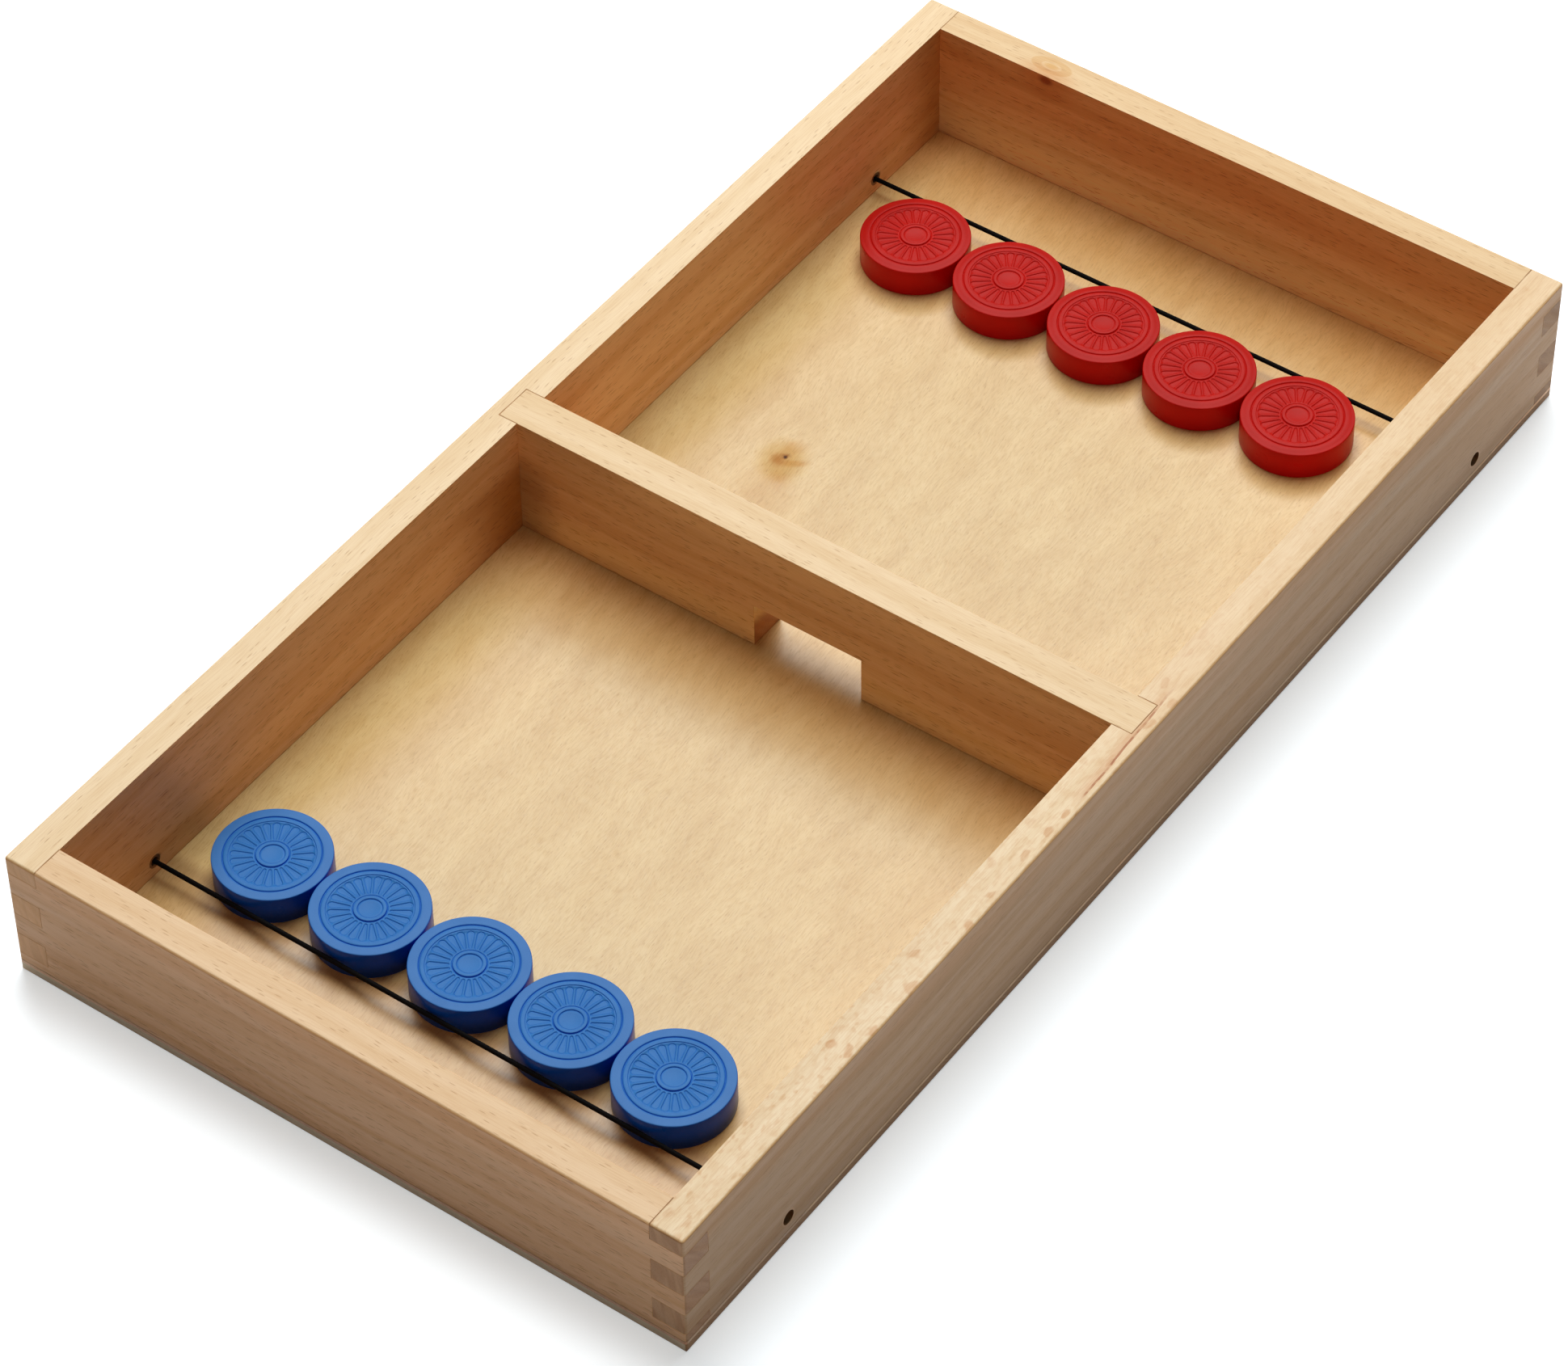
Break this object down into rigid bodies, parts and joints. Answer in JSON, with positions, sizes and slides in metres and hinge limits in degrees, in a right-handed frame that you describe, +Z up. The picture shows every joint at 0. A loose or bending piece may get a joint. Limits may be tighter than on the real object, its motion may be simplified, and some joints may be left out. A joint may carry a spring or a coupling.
{
  "type": "sling puck board",
  "caption": "Finger-jointed beech tray on a thin plywood base, with a gated divider, an elastic sling cord near each end, and a row of blue and a row of red turned pucks.",
  "frame": {"origin": "middle of the board's underside, on the surface that it lies on", "axes": "+Z up, +Y along the board from the near end with the blue pucks to the far end with the red pucks, +X to the right seen from the near end"},
  "size_m": [0.2, 0.386, 0.0404],
  "materials": {
    "beech": "sanded and oiled, satin",
    "birch_veneer": "sanded, satin",
    "birch_core": "sawn plywood edge, matte",
    "elastic_cord": "round woven-cover elastic, matte",
    "blue_paint": "satin paint on turned wood",
    "red_paint": "satin paint on turned wood"
  },
  "bodies": {
    "board": {"left_rail": "beech", "right_rail": "beech", "near_end_rail": "beech", "far_end_rail": "beech", "divider": "beech", "base_top_veneer": "birch_veneer", "base_core": "birch_core", "base_bottom_veneer": "birch_veneer", "near_left_knot": "elastic_cord", "near_right_knot": "elastic_cord", "far_left_knot": "elastic_cord", "far_right_knot": "elastic_cord"},
    "near_sling": {"near_cord": "elastic_cord"},
    "far_sling": {"far_cord": "elastic_cord"},
    "blue_puck_1": {"blue_puck_1": "blue_paint"},
    "blue_puck_2": {"blue_puck_2": "blue_paint"},
    "blue_puck_3": {"blue_puck_3": "blue_paint"},
    "blue_puck_4": {"blue_puck_4": "blue_paint"},
    "blue_puck_5": {"blue_puck_5": "blue_paint"},
    "red_puck_1": {"red_puck_1": "red_paint"},
    "red_puck_2": {"red_puck_2": "red_paint"},
    "red_puck_3": {"red_puck_3": "red_paint"},
    "red_puck_4": {"red_puck_4": "red_paint"},
    "red_puck_5": {"red_puck_5": "red_paint"}
  },
  "joints": [
    {"name": "near_sling_draw", "type": "slide", "parent": "board", "child": "near_sling", "axis": [0.0393, 0.9992, 0], "range_m": [-0.028, 0], "stiffness_N_per_m": 70, "deforming": ["near_cord"]},
    {"name": "far_sling_draw", "type": "slide", "parent": "board", "child": "far_sling", "axis": [0.0393, -0.9992, 0], "range_m": [-0.028, 0], "stiffness_N_per_m": 70, "deforming": ["far_cord"]},
    {"name": "blue_slide_1", "type": "slide", "parent": "board", "child": "blue_puck_1", "axis": [0.0393, 0.9992, 0], "range_m": [0, 0.116]},
    {"name": "blue_slide_2", "type": "slide", "parent": "board", "child": "blue_puck_2", "axis": [0.0393, 0.9992, 0], "range_m": [0, 0.116]},
    {"name": "blue_slide_3", "type": "slide", "parent": "near_sling", "child": "blue_puck_3", "axis": [0.0393, 0.9992, 0], "range_m": [0, 0.161]},
    {"name": "blue_slide_4", "type": "slide", "parent": "board", "child": "blue_puck_4", "axis": [0.0393, 0.9992, 0], "range_m": [0, 0.116]},
    {"name": "blue_slide_5", "type": "slide", "parent": "board", "child": "blue_puck_5", "axis": [0.0393, 0.9992, 0], "range_m": [0, 0.116]},
    {"name": "red_slide_1", "type": "slide", "parent": "board", "child": "red_puck_1", "axis": [0.0393, -0.9992, 0], "range_m": [0, 0.116]},
    {"name": "red_slide_2", "type": "slide", "parent": "board", "child": "red_puck_2", "axis": [0.0393, -0.9992, 0], "range_m": [0, 0.116]},
    {"name": "red_slide_3", "type": "slide", "parent": "far_sling", "child": "red_puck_3", "axis": [0.0393, -0.9992, 0], "range_m": [0, 0.0815]},
    {"name": "red_slide_4", "type": "slide", "parent": "board", "child": "red_puck_4", "axis": [0.0393, -0.9992, 0], "range_m": [0, 0.1]},
    {"name": "red_slide_5", "type": "slide", "parent": "board", "child": "red_puck_5", "axis": [0.0393, -0.9992, 0], "range_m": [0, 0.116]}
  ]
}
